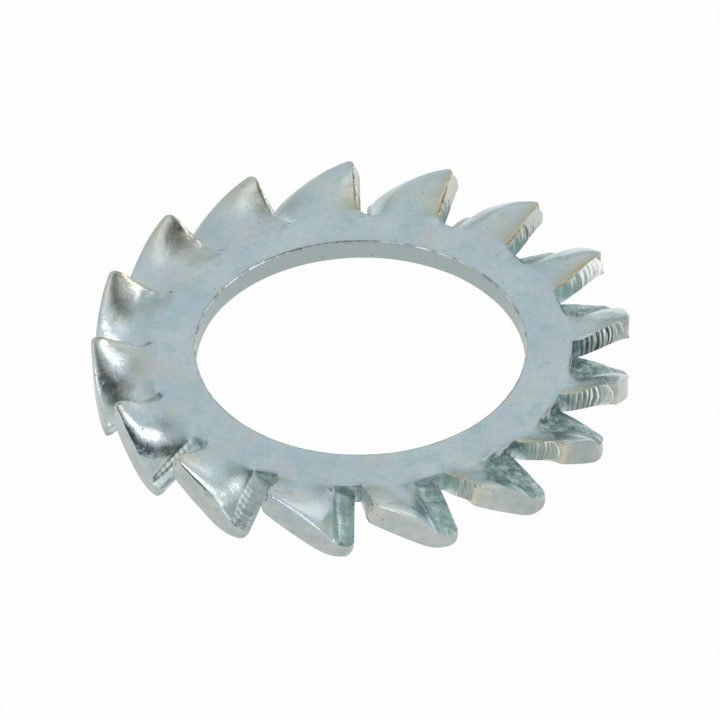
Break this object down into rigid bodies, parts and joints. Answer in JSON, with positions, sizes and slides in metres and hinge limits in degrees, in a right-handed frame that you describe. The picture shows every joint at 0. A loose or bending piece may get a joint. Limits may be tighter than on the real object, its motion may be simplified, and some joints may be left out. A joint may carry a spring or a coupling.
{
  "type": "external tooth lock washer",
  "caption": "Flat metal ring with twisted, overlapping fan teeth round its outer rim and a plain central hole, used under a mower blade bolt to stop it working loose.",
  "frame": {"origin": "on the hole's axis, in the middle of the sheet's thickness", "axes": "+Z along the hole's axis; the gap between two teeth lies on +X"},
  "size_m": [0.0174, 0.0174, 0.0022],
  "materials": {
    "zinc_plate": "bright zinc plating, satin on the flat ring and glossier on the bent teeth"
  },
  "bodies": {
    "root": {"washer": "zinc_plate"}
  },
  "joints": []
}
